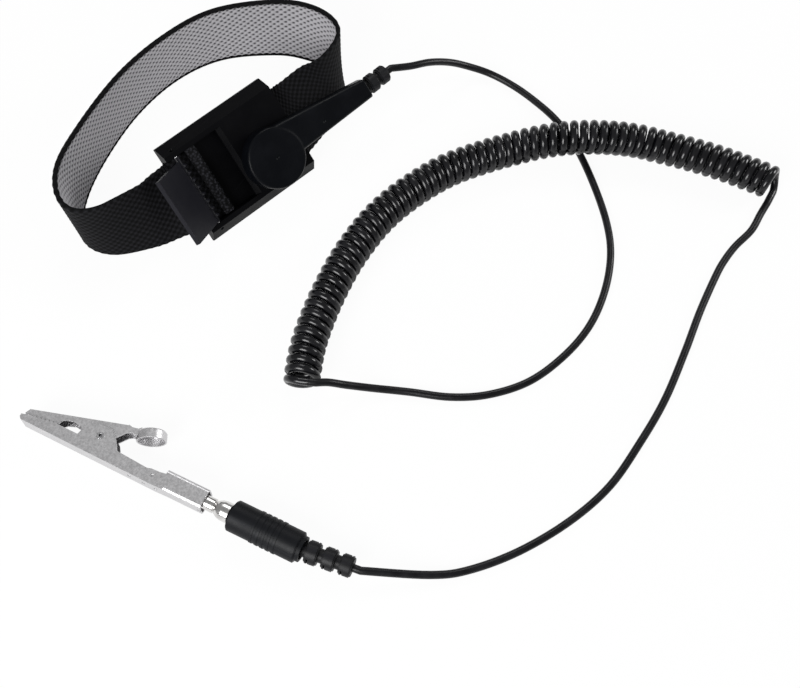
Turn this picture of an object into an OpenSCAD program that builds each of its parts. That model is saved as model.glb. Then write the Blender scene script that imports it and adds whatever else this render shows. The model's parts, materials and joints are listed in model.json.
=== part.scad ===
// Wrist strap for static-safe bench work: an elastic wristband with a conductive lining, a buckle
// with a hinged clamp and a snap stud, a curly cord, and a banana plug that carries a jaw clip.
// Millimetres. +Z is up, +X runs along the buckle, and the origin is under the wristband's middle.

/* [Wristband] */
// Width of the elastic band
band_w = 20; // [16:0.5:24]
// Thickness of the outer knit
knit_t = 0.9; // [0.6:0.05:1.2]
// Thickness of the conductive lining
lining_t = 0.6; // [0.3:0.05:0.8]
// Bare knit left along each edge of the lining
lining_inset = 0.7; // [0.3:0.1:1.5]
// Reach of the band past the buckle's snap end
reach_right = 24.8; // [20:0.2:34]
// Reach of the band past the buckle's clamp end
reach_left = 25.8; // [20:0.2:34]
// Distance from the buckle's foot to the far side of the band
loop_depth = 47.8; // [42:0.2:62]
// Width of the folded and stitched end of the band
hem_w = 3; // [2:0.1:4]
// Thickness of the folded end above the band
hem_t = 0.85; // [0.5:0.05:1]

/* [Buckle] */
// Length of the buckle along the band
buckle_l = 34.4; // [32:0.2:42]
// Width of each rail beside the band
rail_w = 3.95; // [3.4:0.05:5]
// Height of the buckle
buckle_t = 4.8; // [4.6:0.1:6]
// Width of the slope along each long side
bevel_w = 2.6; // [1.8:0.1:3.2]
// Height of the upright edge under the slope
edge_t = 1.2; // [0.8:0.1:2]
// Thickness of the floor under the band
floor_t = 0.4; // [0.4:0.05:0.8]
// Thickness of the steel skin plate
plate_t = 0.4; // [0.3:0.05:0.6]
// Margin between the skin plate and the buckle's outline
plate_inset = 1.3; // [0.8:0.1:2.5]
// Length of the open window at the clamp end
window_l = 16; // [14:0.1:17]
// Slope at the inner end of the window
window_slope = 1.2; // [0.4:0.1:1.8]
// Tilt of the buckle as it lies
tilt = 41; // [35:1:47]

/* [Clamp] */
// Distance of the hinge pin from the buckle's end
pin_x = 3; // [2.4:0.1:4]
// Radius of the hinge pin
pin_r = 0.5; // [0.4:0.05:0.6]
// Wall of the hinge barrel round its bore
barrel_wall = 0.25; // [0.2:0.05:0.35]
// Thickness of the clamp flap
flap_t = 1.2; // [0.8:0.1:1.4]
// Distance between two teeth
tooth_pitch = 2.2; // [1.6:0.1:3]
// Width of a tooth along the pin's radius
tooth_t = 0.9; // [0.6:0.1:1.2]
// Angle of the open flap above the band
open_angle = 138; // [100:1:150]

/* [Snap stud] */
// Place of the stud along the buckle
stud_x = 24.3; // [24:0.1:26]
// Place of the stud across the buckle
stud_y = 10.2; // [9:0.1:14]
// Radius of the stud's head
stud_head_r = 2; // [1.8:0.05:2.4]
// Radius of the stud's neck
stud_neck_r = 1.6; // [1.5:0.05:1.7]
// Height of the stud above the buckle
stud_h = 3; // [2.8:0.1:3.4]
// Radius of the stud's base flange
flange_r = 4; // [3:0.1:4]
// Thickness of the stud's base flange
flange_t = 0.35; // [0.3:0.05:0.5]
// Radius of the eyelet tube that rivets the stud
rivet_r = 1.25; // [1.1:0.05:1.3]
// Wall of the eyelet tube
rivet_wall = 0.4; // [0.3:0.05:0.5]
// Radius of the eyelet's head
eyelet_r = 3.4; // [2.5:0.1:4]
// Thickness of the eyelet's head
eyelet_t = 0.2; // [0.15:0.01:0.22]

/* [Snap connector] */
// Radius of the round cap
cap_r = 8.2; // [7.6:0.1:9]
// Height of the cap's top above the buckle
cap_top = 6.2; // [6:0.1:7]
// Gap between the buckle and the cap
cap_gap = 0.45; // [0.4:0.05:0.6]
// Radius of the cap's rounded rim
cap_round = 0.8; // [0.8:0.1:2]
// Radius of the metal socket
socket_r = 4.4; // [4.2:0.1:5]
// Radius of the spring wire in the socket
spring_wire_r = 0.3; // [0.2:0.02:0.3]
// Turn of the connector on the stud as it lies
snap_turn = 2; // [-10:1:20]
// Distance from the stud to the end of the handle
handle_l = 32.2; // [30:0.2:40]
// Width of the handle at the cap
handle_w = 10; // [7:0.2:11]
// Shift of the handle across the cap, where it leaves the cap
handle_shift = 2.2; // [0:0.1:2.4]
// Width of the handle at its end
handle_end_w = 5.6; // [5:0.2:7]
// Thickness of the handle at its end
handle_end_t = 5; // [4.4:0.1:5.4]
// Length of the snap end's strain relief
snap_relief_l = 7.4; // [6:0.2:12]

/* [Cord] */
// Diameter of the cord
cord_d = 2; // [1.6:0.1:2.2]
// Outer diameter of the curly part
coil_d = 9.5; // [8.6:0.1:10]
// Number of curls
curls = 64.5; // [55.5:1:64.5]

/* [Banana plug] */
// Radius of the grip over its ribs
grip_r = 4.1; // [3.6:0.1:5]
// Length of the grip
grip_l = 19.2; // [18:0.2:26]
// Height of the grip's ribs
rib_h = 0.15; // [0.1:0.05:0.3]
// Number of ribs
ribs = 5; // [3:1:6]
// Length of the plug's strain relief
plug_relief_l = 12.6; // [10:0.2:16]
// Bend of the plug's strain relief
relief_bend = 6; // [0:0.5:8]
// Radius of the metal ferrule
ferrule_r = 2.5; // [2.4:0.05:3.2]
// Length of the ferrule in front of the grip
ferrule_l = 4.7; // [4:0.1:6]
// Radius of the plug's pin
banana_r = 1.25; // [1:0.05:1.3]
// Radius of the spring sleeve at its bulge
sleeve_r = 2; // [1.9:0.05:2.1]
// Reach of the pin in front of the grip
banana_l = 20.2; // [19.6:0.2:24]

/* [Jaw clip] */
// Distance from the grip to the clip's barrel
barrel_x = 7.3; // [6.4:0.1:7.6]
// Length of the clip's barrel
barrel_l = 11.4; // [10.4:0.2:11.8]
// Thickness of the clip's sheet metal
sheet_t = 0.4; // [0.3:0.05:0.5]
// Distance from the grip to the nose of the jaws
nose_x = 58.6; // [57:0.1:64]
// Width of the lower jaw
jaw_w = 5.2; // [5:0.1:5.6]
// Distance between two jaw teeth
jaw_tooth = 1; // [0.8:0.1:1.4]
// Radius of the jaws' hollow rivet
jaw_rivet_r = 0.9; // [0.7:0.05:1]
// Bore of the hollow rivet
jaw_rivet_bore = 0.45; // [0.3:0.05:0.5]
// Radius of the thumb pad
pad_r = 3.75; // [3.4:0.1:4]
// Depth of the thumb pad's rim
pad_depth = 2.3; // [1.4:0.1:2.4]
// Radius of the jaw spring's wire
jaw_wire_r = 0.3; // [0.2:0.05:0.3]

/* [Fits] */
// Clearance of a running fit, on the radius
run_gap = 0.05; // [0.03:0.01:0.1]
// Clearance of a fixed fit, on the radius
fix_gap = 0.02; // [0.01:0.01:0.05]
// Clearance beside the band and the flap
side_gap = 0.3; // [0.2:0.05:0.5]
// Clearance over and under the band in the buckle
seat_gap = 0.05; // [0.05:0.01:0.1]

/* [Hidden] */
$fn = 32;
eps = 0.01;

// ---- Heights in the buckle, from its skin side up, and widths across it ----
floor_top = plate_t + floor_t;
lining_low = floor_top + seat_gap;
knit_low = lining_low + lining_t + seat_gap;
band_top = knit_low + knit_t;
cover_low = band_top + seat_gap;
channel_w = band_w + 2 * side_gap;
band_y = rail_w + side_gap;
buckle_w = channel_w + 2 * rail_w;
wrist_centre = [17.4, 22.1];

// ---- Clamp ----
barrel_r = pin_r + run_gap + barrel_wall;
pin_h = buckle_t - barrel_r;
pin_recess = bevel_w * (pin_h + pin_r - edge_t) / (buckle_t - edge_t) + 0.1;
flap_gap = 0.8;
flap_shift = 0.6;
flap_w = channel_w - 2 * flap_gap;
hinge_w = channel_w - 2 * (flap_gap - flap_shift);
flap_l = window_l - side_gap - pin_x;
tooth_corner_gap = 0.1;
tooth_r = pin_h - cover_low - tooth_corner_gap;
hem_x = pin_x + 3.2;

// ---- Snap ----
eyelet_sink = 0.02;
eyelet_seat = eyelet_sink + eyelet_t;
socket_low = 0.65;
socket_floor = 0.45;
socket_h = stud_h + 0.15 + socket_floor - socket_low;
spring_r = stud_neck_r + run_gap + spring_wire_r;
spring_h = flange_t + 0.7;
groove_h = 0.8;
handle_h = (cap_gap + cap_top) / 2 - 0.12;
handle_t = cap_top - cap_gap - 0.4;
handle_corner = 1.2;
core_bore_r = 1.5;
relief_r = 2.6;
resistor_r = 1.2;
resistor_l = 6.4;
lead_wire_r = 0.3;

// ---- Cord ----
cord_r = cord_d / 2;
lead_sides = 8;
coil_sides = 6;
curl_rings = 8;
coil_r = coil_d / 2;
// The cord is drawn a little thinner where it is wound
drawn = 0.2;
wound_d = cord_d - drawn;
helix_r = coil_r - wound_d / 2;

// Where the plug lies: the middle of the grip's front face, and the way the plug points
plug_at = [-60.9, -87.1, grip_r];
plug_turn = 112.6;

// The cord's leads, as they lie on the bench
snap_lead_points = [[53.5, -20.8, 12.5], [59.5, -22.3, 10.5], [65.5, -24.1, 7], [70.5, -27.1, 3.6],
    [74.3, -31.6, 1.6], [76.6, -38.1, 1], [77.7, -46.1, 1], [77.8, -54.8, 1], [76, -64.1, 1],
    [71.6, -75.3, 1], [65.6, -86.8, 1], [59.3, -94.9, 1], [50.6, -101.6, 1], [40.5, -106.3, 1],
    [29.7, -108.2, 1], [18, -107.6, 1], [7.8, -103.6, 1], [-0.2, -97.6, 1], [-7.6, -89.2, 1],
    [-13.8, -83.2, 2.2], [-18.8, -79.2, 4.8], [-22.2, -76.7, 7.2]];
plug_lead_points = [[98.2, -112.7, 1], [92.6, -114.5, 1], [85.8, -115, 1], [80, -116.2, 1],
    [74.8, -118, 1], [64.6, -122.3, 1], [53.4, -127.7, 1], [40, -133.6, 1],
    [27.1, -137.6, 1], [13.5, -140.7, 1], [0, -140.7, 1], [-14.2, -138.2, 1], [-26.4, -133.8, 1.2],
    [-34.5, -128.7, 2]];
// The middle line of the curly part
coil_points = [[-26.9, -71.5, 4.3], [-19.9, -65.3, 4.3], [-12.6, -60.4, 4.3], [-3.5, -55.5, 4.3],
    [5.9, -51.5, 4.3], [17.6, -48.3, 4.3], [28.5, -47.5, 4.3], [41, -48.7, 4.3], [52.1, -52.1, 4.3],
    [62.5, -56.7, 5.2], [71.4, -62.7, 6.9], [79.8, -69.4, 6.9], [87.7, -76.7, 5.4], [93.8, -85.7, 4.3],
    [99.3, -95.3, 4.3], [104, -105.7, 4.3], [105.4, -109.3, 4.3]];

// The band's lower edge past the buckle: x as a share of the reach, y as a share of the depth,
// height above the bench, and lean towards the wrist
right_turn = [[0.47, 0.136, 1.9, 35], [0.77, 0.21, 0.5, 22], [0.96, 0.335, 0.2, 4], [1, 0.45, 0.2, -7],
    [0.89, 0.6, 0.2, -12], [0.66, 0.755, 0.2, -10], [0.15, 0.94, 0.2, -5]];
left_turn = [[-0.31, 0.95, 0.2, -2], [0.35, 0.8, 0.2, -5], [0.79, 0.635, 0.2, -9],
    [0.99, 0.455, 0.2, -4], [0.87, 0.295, 0.2, 9], [0.5, 0.17, 0.7, 24], [0.23, 0.11, 1.7, 38]];

// ---- Small functions ----
function unit(v) = v / norm(v);
function catmull(a, b, c, d, t) =
    0.5 * (2 * b + (c - a) * t + (2 * a - 5 * b + 4 * c - d) * t * t + (3 * b - a - 3 * c + d) * t * t * t);
function spline(p, steps) = concat(
    [for (i = [0:len(p) - 2], k = [0:steps - 1])
        catmull(p[max(i - 1, 0)], p[i], p[i + 1], p[min(i + 2, len(p) - 1)], k / steps)],
    [p[len(p) - 1]]);
function along(p, i) = unit(p[min(i + 1, len(p) - 1)] - p[max(i - 1, 0)]);
function ring(middle, side, up, r, sides) =
    [for (k = [0:sides - 1]) middle + r * (cos(360 * k / sides) * side + sin(360 * k / sides) * up)];
function flat_side(t) = unit(cross([0, 0, 1], t));

// From the buckle's own axes, x along it, y up its slope and z out of it, to the part's axes
function placed(p) = [p.x - wrist_centre.x, p.y * cos(tilt) - p.z * sin(tilt) - wrist_centre.y,
                      p.y * sin(tilt) + p.z * cos(tilt)];
module at_buckle() {
    translate([-wrist_centre.x, -wrist_centre.y, 0]) rotate([tilt, 0, 0]) children();
}
module at_stud() {
    at_buckle() translate([stud_x, stud_y, buckle_t]) children();
}
module at_cap() {
    at_stud() rotate([0, 0, snap_turn]) children();
}
module at_plug() {
    translate(plug_at) rotate([0, 0, plug_turn]) children();
}
// From the plug's own axes to the part's axes
function from_plug(p) = plug_at + [p.x * cos(plug_turn) - p.y * sin(plug_turn),
                                   p.x * sin(plug_turn) + p.y * cos(plug_turn), p.z];

// A closed skin over a row of rings that all have as many points. Each wall between two rings is
// cut along one of its diagonals.
module skin(rings, other_diagonal = false) {
    n = len(rings);
    m = len(rings[0]);
    last = (n - 1) * m;
    walls = [for (i = [0:n - 2], j = [0:m - 1])
        let (a = i * m + j, b = i * m + (j + 1) % m)
        each other_diagonal ? [[a, a + m, b], [b, a + m, b + m]] : [[a, a + m, b + m], [a, b + m, b]]];
    start = [for (j = [1:m - 2]) [0, j, j + 1]];
    end = [for (j = [1:m - 2]) [last, last + j + 1, last + j]];
    polyhedron([for (r = rings) each r], concat(walls, start, end), convexity = 10);
}
// An upright strip from a plan outline, turned to lie along x with y up: for profiles
module along_x(length) {
    rotate([90, 0, 90]) linear_extrude(length) children();
}
module tube(r, bore, h) {
    difference() {
        cylinder(r = r, h = h);
        translate([0, 0, -eps]) cylinder(r = bore, h = h + 2 * eps);
    }
}
module lying_cylinder(r, from_x, to_x) {
    translate([from_x, 0, 0]) rotate([0, 90, 0]) cylinder(r = r, h = to_x - from_x);
}

// ---- Wristband ----
// A point of the band's path: x and y of the lower edge, its height, and its lean
function in_buckle(x) = let (p = placed([x, band_y, knit_low]))
    [p.x + wrist_centre.x, p.y + wrist_centre.y, p.z, 90 - tilt];
band_turns = concat([in_buckle(buckle_l)],
    [for (s = right_turn) [buckle_l + s.x * reach_right, s.y * loop_depth, s.z, s[3]]],
    [[0.7 * buckle_l, loop_depth, 0.2, -1]],
    [for (s = left_turn) [-s.x * reach_left, s.y * loop_depth, s.z, s[3]]],
    [in_buckle(0)]);
band_fixed_x = window_l + 2.6;
function band_path(fixed_x, tail_x) = concat([in_buckle(fixed_x)], spline(band_turns, 4), [in_buckle(tail_x)]);
// One ring of a strip: its corners give the distance towards the wrist and the height across the band
function strip_ring(p, t, corners) =
    let (inward = [-t.y, t.x, 0],
         across = inward * sin(p[3]) + [0, 0, cos(p[3])],
         inner = inward * cos(p[3]) - [0, 0, sin(p[3])],
         foot = [p.x - wrist_centre.x, p.y - wrist_centre.y, p.z])
    [for (c = corners) foot + c.x * inner + c.y * across];
// A strip leaves the buckle square to its end, and has turned into its path some rings on
turning_rings = 5;
module band_strip(fixed_x, tail_x, corners, other_diagonal) {
    path = band_path(fixed_x, tail_x);
    n = len(path);
    rings = [for (i = [0:n - 1])
        let (turned = min(max(min(i, n - 1 - i) - 1, 0) / turning_rings, 1),
             way = turned == 0 ? [1, 0] : unit([path[i + 1].x - path[i - 1].x, path[i + 1].y - path[i - 1].y]))
        strip_ring(path[i], unit([1, 0] * (1 - turned) + way * turned), corners)];
    difference() {
        skin(rings, other_diagonal);
        at_stud() translate([0, 0, -buckle_t]) cylinder(r = rivet_r + side_gap, h = buckle_t);
    }
}
lining_low_edge = lining_inset;
lining_high_edge = band_w - lining_inset;
module band_outer() {
    color("#202124") band_strip(band_fixed_x, hem_x + hem_w,
        [[-knit_t, 0], [0, 0], [0, lining_low_edge], [0, lining_high_edge], [0, band_w], [-knit_t, band_w]], false);
}
module band_lining() {
    far = seat_gap + lining_t;
    color("#b9b8bb") band_strip(band_fixed_x, hem_x + hem_w,
        [[seat_gap, lining_low_edge], [far, lining_low_edge], [far, lining_high_edge], [seat_gap, lining_high_edge]], true);
}
module band_hem() {
    color("#3a3b40") at_buckle() translate([hem_x, band_y, band_top]) hull() {
        cube([hem_w, band_w, hem_t / 2]);
        translate([hem_w * 0.15, 0, 0]) cube([hem_w * 0.7, band_w, hem_t]);
    }
}

// ---- Buckle ----
module buckle_frame() {
    outline = [[0, 0], [buckle_w, 0], [buckle_w, edge_t], [buckle_w - bevel_w, buckle_t],
               [bevel_w, buckle_t], [0, edge_t]];
    color("#26272c") at_buckle() difference() {
        along_x(buckle_l) polygon(outline);
        translate([-1, rail_w, floor_top]) cube([buckle_l + 2, channel_w, cover_low - floor_top]);
        translate([-1, rail_w, floor_top]) cube([window_l + 1, channel_w, buckle_t]);
        translate([0, rail_w, 0]) rotate([90, 0, 180]) mirror([1, 0, 0]) linear_extrude(channel_w)
            polygon([[window_l - eps, cover_low + 1], [window_l - eps, buckle_t + eps], [window_l + window_slope, buckle_t + eps]]);
        translate([plate_inset, plate_inset, -1])
            cube([buckle_l - 2 * plate_inset, buckle_w - 2 * plate_inset, plate_t + 1]);
        translate([pin_x, -1, pin_h]) rotate([-90, 0, 0]) cylinder(r = pin_r + fix_gap, h = buckle_w + 2);
        translate([stud_x, stud_y, -1]) cylinder(r = rivet_r + fix_gap, h = buckle_t + 2);
    }
}
module back_plate() {
    plate_edge = plate_inset + fix_gap;
    color("#c9cacc") at_buckle() difference() {
        translate([plate_edge, plate_edge, 0])
            cube([buckle_l - 2 * plate_edge, buckle_w - 2 * plate_edge, plate_t]);
        translate([stud_x, stud_y, -1]) cylinder(r = rivet_r + fix_gap, h = plate_t + 2);
        // the eyelet's head lies sunk in the plate, clear of the skin
        translate([stud_x, stud_y, -1]) cylinder(r = eyelet_r + run_gap, h = eyelet_seat + 1);
    }
}
module clamp_pin() {
    color("#8b8d92") at_buckle() translate([pin_x, pin_recess, pin_h]) rotate([-90, 0, 0])
        cylinder(r = pin_r, h = buckle_w - 2 * pin_recess);
}
// The flap as it lies closed, with its pin along y at the origin and its tip towards x
module closed_flap() {
    teeth = floor(flap_w / tooth_pitch);
    first = (flap_w - (teeth - 1) * tooth_pitch) / 2;
    difference() {
        union() {
            translate([0, 0, barrel_r - flap_t]) cube([flap_l, flap_w, flap_t]);
            rotate([-90, 0, 0]) cylinder(r = barrel_r, h = hinge_w);
            for (k = [0:teeth - 1]) translate([-tooth_t / 2, first + k * tooth_pitch, 0])
                along_x(tooth_t) polygon([[-0.42 * tooth_pitch, -0.2], [0.42 * tooth_pitch, -0.2],
                                          [0.12, -tooth_r], [-0.12, -tooth_r]]);
        }
        translate([0, -1, 0]) rotate([-90, 0, 0]) cylinder(r = pin_r + run_gap, h = hinge_w + 2);
        // slope along the tip's top edge
        translate([flap_l, -1, barrel_r]) rotate([0, 45, 0]) cube([1, flap_w + 2, 0.7], center = false);
    }
}
module clamp_flap() {
    color("#2d2e34") at_buckle() translate([pin_x, rail_w + flap_gap - flap_shift, pin_h]) rotate([0, -open_angle, 0])
        closed_flap();
}

// ---- Snap stud, on the buckle ----
module snap_stud() {
    bore_r = rivet_r + fix_gap;
    color("#c3c4c8") at_stud() rotate_extrude() polygon([[bore_r, 0], [flange_r, 0], [flange_r, flange_t],
        [stud_neck_r, flange_t], [stud_neck_r, flange_t + 1], [stud_head_r, flange_t + 1.5],
        [stud_head_r, stud_h - 0.5], [stud_head_r - 0.5, stud_h], [0, stud_h], [0, stud_h - 0.6],
        [bore_r, stud_h - 0.6]]);
}
module stud_eyelet() {
    top = buckle_t + stud_h - 1;
    color("#c3c4c8") at_stud() translate([0, 0, -buckle_t]) rotate_extrude()
        polygon([[rivet_r - rivet_wall, eyelet_sink], [eyelet_r - 0.1, eyelet_sink], [eyelet_r, eyelet_seat],
                 [rivet_r, eyelet_seat], [rivet_r, top], [rivet_r - rivet_wall, top]]);
}

// ---- Snap connector, on the cord ----
module socket_spring() {
    color("#d8d9db") at_cap() translate([0, 0, spring_h]) difference() {
        rotate_extrude() translate([spring_r, 0]) circle(r = spring_wire_r);
        translate([0, -0.4, -1]) cube([socket_r, 0.8, 2]);
    }
}
module snap_socket() {
    entry_r = stud_head_r + 0.1;
    groove_r = spring_r + spring_wire_r + 0.1;
    groove_low = spring_h - groove_h / 2;
    top = socket_low + socket_h;
    color("#c3c4c8") at_cap() rotate_extrude() polygon([[entry_r, socket_low], [socket_r, socket_low],
        [socket_r, top], [0, top], [0, top - socket_floor], [entry_r, top - socket_floor],
        [entry_r, groove_low + groove_h], [groove_r, groove_low + groove_h], [groove_r, groove_low],
        [entry_r, groove_low]]);
}
module snap_cap() {
    rim = [for (a = [0:22.5:90]) [cap_r - cap_round + cap_round * cos(a), cap_top - 0.2 - cap_round + cap_round * sin(a)]];
    lip_r = flange_r + 0.1;
    cavity_top = socket_low + socket_h + run_gap;
    color("#26272b") at_cap() difference() {
        union() {
            rotate_extrude($fn = 96) polygon(concat([[0, cap_gap], [cap_r, cap_gap]], rim, [[0, cap_top]]));
            hull() {
                translate([0, handle_shift, 0]) handle_section(0.5 * cap_r, handle_w, handle_t);
                handle_section(handle_l - 0.4, handle_end_w, handle_end_t);
            }
        }
        translate([0, 0, cap_gap - 1]) cylinder(r = lip_r, h = 2);
        translate([0, 0, socket_low - run_gap]) cylinder(r = socket_r + run_gap, h = cavity_top - socket_low + run_gap);
        translate([0, 0, handle_h]) lying_cylinder(core_bore_r, socket_r + 2, handle_l + 1);
        translate([0, 0, handle_h]) lying_cylinder(lead_wire_r + run_gap, socket_r - 1, socket_r + 3);
        // two shallow moulding marks
        translate([0, 0, cap_top - 0.4]) cylinder(r = 0.35, h = 1);
        translate([16.5, 0, handle_h + handle_end_t / 2 - 0.3]) cylinder(r = 0.35, h = 1);
    }
}
module handle_section(x, w, t) {
    translate([x, 0, handle_h]) along_x(0.4) offset(r = handle_corner, $fn = 32)
        square([w - 2 * handle_corner, t - 2 * handle_corner], center = true);
}
resistor_x = socket_r + 5;
crimp_x = resistor_x + resistor_l + 3.5;
crimp_l = 5.5;
module safety_resistor() {
    color("#5aa7c7") at_cap() translate([0, 0, handle_h]) {
        lying_cylinder(lead_wire_r, socket_r + run_gap, crimp_x + 2);
        lying_cylinder(resistor_r - 0.2, resistor_x, resistor_x + resistor_l);
        lying_cylinder(resistor_r, resistor_x + 0.2, resistor_x + 1.8);
        lying_cylinder(resistor_r, resistor_x + resistor_l - 1.8, resistor_x + resistor_l - 0.2);
    }
}
module crimp_sleeve() {
    color("#b98b4a") at_cap() translate([crimp_x, 0, handle_h]) rotate([0, 90, 0]) tube(1.1, 0.7, crimp_l);
}
snap_relief_end = handle_l + snap_relief_l;
module cord_tail() {
    color("#17181a") at_cap() translate([0, 0, handle_h]) {
        lying_cylinder(0.5, crimp_x + 3, crimp_x + crimp_l + 1);
        lying_cylinder(cord_r, crimp_x + crimp_l + 0.3, snap_relief_end);
    }
}
// A moulded relief along x: a core with thick blocks that are slotted in turn from each side
module slotted_relief(length, blocks, r, from_x) {
    pitch = length / blocks;
    block = pitch * 0.72;
    core_r = cord_r + 0.75;
    difference() {
        union() {
            lying_cylinder(core_r, from_x, length - 0.3);
            for (k = [0:blocks - 1]) translate([(k + 1) * pitch - block, 0, 0]) {
                lying_cylinder(r - 0.12 * k, 0.35, block - 0.35);
                lying_cylinder(r - 0.3 - 0.12 * k, 0, block);
            }
        }
        lying_cylinder(cord_r + run_gap, from_x - 1, length + 1);
        for (k = [0:blocks - 1], side = [-1, 1]) translate([(k + 1) * pitch - block + (side > 0 ? 0.75 : block - 1.15), 0, 0])
            translate([0, side > 0 ? core_r : -core_r - r, -0.55 * r]) cube([0.4, r, 1.1 * r]);
    }
}
module snap_strain_relief() {
    color("#1d1e21") at_cap() translate([handle_l, 0, handle_h]) {
        slotted_relief(snap_relief_l, 2, relief_r, fix_gap);
    }
}

// ---- Cord ----
turn_gap = 0.12;
snap_exit_r = snap_relief_end + turn_gap;
snap_exit = placed([stud_x + snap_exit_r * cos(snap_turn), stud_y + snap_exit_r * sin(snap_turn),
                    buckle_t + handle_h]);
snap_way = [cos(snap_turn), sin(snap_turn) * cos(tilt), sin(snap_turn) * sin(tilt)];
relief_rear = [-grip_l - plug_relief_l * cos(relief_bend), -plug_relief_l * sin(relief_bend), 0];
relief_front = [-grip_l + 0.3, 0, 0];
plug_exit = from_plug(relief_rear);
plug_way = unit(from_plug(relief_rear) - from_plug(relief_front));

// Lies no lower than the bench
function on_bench(p) = [p.x, p.y, max(p.z, cord_r)];
// The coil's middle line, finely divided, with the length run so far. The cord's middle at the
// bottom of each curl runs level with the leads.
coil_line = [for (p = spline(coil_points, 6)) [p.x, p.y, max(p.z, helix_r + cord_r)]];
coil_run = [for (i = 0, s = 0; i < len(coil_line);
    s = s + (i + 1 < len(coil_line) ? norm(coil_line[i + 1] - coil_line[i]) : 0), i = i + 1) s];
coil_axis_l = coil_run[len(coil_run) - 1];
coil_table = [for (k = [0:2]) [for (i = [0:len(coil_line) - 1]) [coil_run[i], coil_line[i][k]]]];
function coil_middle(s) = [for (k = [0:2]) lookup(s, coil_table[k])];
function coil_way(s) = unit(coil_middle(min(s + 1.5, coil_axis_l)) - coil_middle(max(s - 1.5, 0)));
curl_steps = round(curls * curl_rings);
// The first and the last curl lean out along the coil, as the cord pulls at them
end_reach = 1;
function lean_out(i) = let (a = 360 * i / curl_rings) a < 90 ? end_reach * cos(a) * cos(a) : 0;
// The helix: from the top, over the left side and round the bottom
function curl_point(i) =
    let (run = coil_axis_l * i / curl_steps - lean_out(i) + lean_out(curl_steps - i),
         s = min(max(run, 0), coil_axis_l), a = 360 * i / curl_rings, t = coil_way(s),
         left = flat_side(t), up = cross(t, left))
    coil_middle(s) + (run - s) * t + helix_r * (sin(a) * left + cos(a) * up);
curl_line = [for (i = [0:curl_steps]) curl_point(i)];
coil_in_way = flat_side(coil_way(0));
coil_out_way = -flat_side(coil_way(coil_axis_l));
coil_start = curl_line[0] - cord_d * coil_in_way;
coil_end = on_bench(curl_line[curl_steps] + cord_d * coil_out_way);
coil_path = concat([coil_start], curl_line, [coil_end]);
coil_gap = min([for (i = [0:curl_steps - curl_rings - 2], k = [-2:2])
    norm(curl_line[i] - curl_line[min(i + curl_rings + k, curl_steps)])]) - wound_d;
echo(least_gap_between_curls = coil_gap);
coil_l = curl_steps / curl_rings * norm([360 / 57.29578 * helix_r, coil_axis_l / curls]) + 2 * cord_d;
echo(coil_cord_length = coil_l);

function lead_path(from, from_way, points, to, to_way) = concat([from],
    [for (p = spline(concat([from + cord_d * from_way], points, [to - cord_d * to_way]), 2)) on_bench(p)], [to]);
snap_lead = lead_path(snap_exit, snap_way, snap_lead_points, coil_start, coil_in_way);
plug_lead = lead_path(coil_end, coil_out_way, plug_lead_points, plug_exit, -plug_way);
function path_length(p) = [for (i = 0, s = 0; i < len(p) - 1; s = s + norm(p[i + 1] - p[i]), i = i + 1) s
    + norm(p[i + 1] - p[i])][len(p) - 2];
echo(snap_lead_length = path_length(snap_lead), plug_lead_length = path_length(plug_lead),
     lead_rings = len(snap_lead) + len(plug_lead));
module cord(path, sides) {
    skin([for (i = [0:len(path) - 1]) let (t = along(path, i), side = flat_side(t))
        ring(path[i], side, cross(t, side), cord_r, sides)]);
}
module cord_snap_lead() {
    color("#17181a") cord(snap_lead, lead_sides);
}
module cord_plug_lead() {
    color("#17181a") cord(plug_lead, lead_sides);
}
module cord_coil() {
    color("#17181a") skin([for (i = [0:len(coil_path) - 1])
        let (n = min(max(i - 1, 0), curl_steps), t = along(coil_path, i),
             a = 360 * n / curl_rings, way = coil_way(coil_axis_l * n / curl_steps), left = flat_side(way),
             out = sin(a) * left + cos(a) * cross(way, left), side = unit(out - (out * t) * t))
        ring(coil_path[i], side, cross(t, side), wound_d / 2, coil_sides)]);
}

// ---- Banana plug ----
module plug_grip() {
    bar_r = grip_r - rib_h;
    rib_pitch = 1.5;
    rib_w = 0.7;
    rib_from = grip_l / 2 + 0.6 - ribs * rib_pitch / 2;
    color("#232428") at_plug() difference() {
        union() {
            lying_cylinder(bar_r, -grip_l + 1.2, -0.3);
            lying_cylinder(bar_r - 0.3, -grip_l + 1, 0);
            lying_cylinder(bar_r - 0.7, -grip_l, -1);
            for (k = [0:ribs - 1])
                lying_cylinder(grip_r, -rib_from - k * rib_pitch - rib_w, -rib_from - k * rib_pitch);
        }
        lying_cylinder(ferrule_r - 0.5 + fix_gap, -3, 1);
        lying_cylinder(banana_r + 0.5 + fix_gap, -11, 1);
        lying_cylinder(1.3, -12.5, 1);
        lying_cylinder(cord_r + 0.35, -grip_l - 1, -12);
        lying_cylinder(relief_r, -grip_l - 1, -grip_l + 1);
    }
}
module plug_strain_relief() {
    color("#1d1e21") at_plug() translate(relief_front) rotate([0, 0, relief_bend])
        mirror([1, 0, 0]) slotted_relief(norm(relief_rear - relief_front), 3, relief_r + 0.3, -0.3);
}
module plug_ferrule() {
    stem_r = ferrule_r - 0.5;
    color("#c9cacc") at_plug() difference() {
        union() {
            lying_cylinder(stem_r, -2.8, 0.5);
            translate([0.3, 0, 0]) rotate([0, 90, 0]) rotate_extrude() polygon([[0, 0], [ferrule_r - 0.3, 0],
                [ferrule_r, 0.3], [ferrule_r, ferrule_l - 2.6], [ferrule_r - 0.25, ferrule_l - 1.5],
                [ferrule_r - 0.8, ferrule_l - 0.6], [ferrule_r - 1.3, ferrule_l - 0.3], [0, ferrule_l - 0.3]]);
        }
        lying_cylinder(banana_r + fix_gap, -4, ferrule_l + 1);
    }
}
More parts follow.
